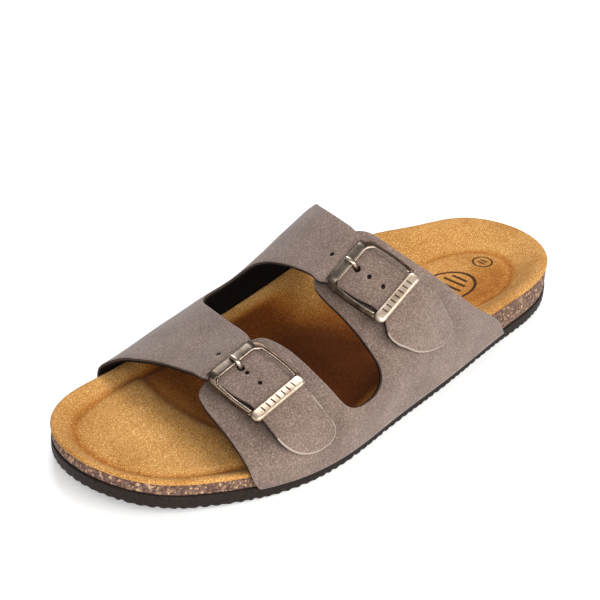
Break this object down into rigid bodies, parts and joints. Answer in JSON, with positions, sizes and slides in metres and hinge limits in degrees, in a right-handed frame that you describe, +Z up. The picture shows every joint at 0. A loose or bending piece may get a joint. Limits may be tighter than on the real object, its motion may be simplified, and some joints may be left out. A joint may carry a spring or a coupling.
{
  "type": "footbed sandal",
  "caption": "Left backless sandal with a contoured cork footbed, ribbed outsole and wide leather straps closed by prong buckles.",
  "frame": {"origin": "on the floor plane, under the shoe's middle, half the sole's length forward of the back of the heel", "axes": "+X from the heel to the toes, +Y to the outer side of the left foot, +Z up from the floor"},
  "size_m": [0.2619, 0.1022, 0.0671],
  "materials": {
    "outsole_rubber": "very dark brown moulded sole rubber, dull",
    "cork": "ground cork bound with latex, dull, pale flecks",
    "liner_suede": "ochre suede footbed cover, dull",
    "upper_nubuck_outer": "grey-brown brushed leather, dull",
    "upper_nubuck_inner": "grey-brown brushed leather, dull",
    "buckle_front_bronze": "aged bronze plating with polished high spots",
    "buckle_rear_bronze": "aged bronze plating with polished high spots",
    "prong_front_bronze": "aged bronze plating",
    "prong_rear_bronze": "aged bronze plating",
    "keeper_front_leather": "dark leather, dull",
    "keeper_rear_leather": "dark leather, dull"
  },
  "bodies": {
    "root": {"outsole": "outsole_rubber", "cork_midsole": "cork", "footbed_liner": "liner_suede", "upper_outer": "upper_nubuck_outer", "upper_inner": "upper_nubuck_inner", "buckle_front": "buckle_front_bronze", "buckle_rear": "buckle_rear_bronze", "prong_front": "prong_front_bronze", "prong_rear": "prong_rear_bronze", "keeper_front": "keeper_front_leather", "keeper_rear": "keeper_rear_leather"}
  },
  "joints": []
}
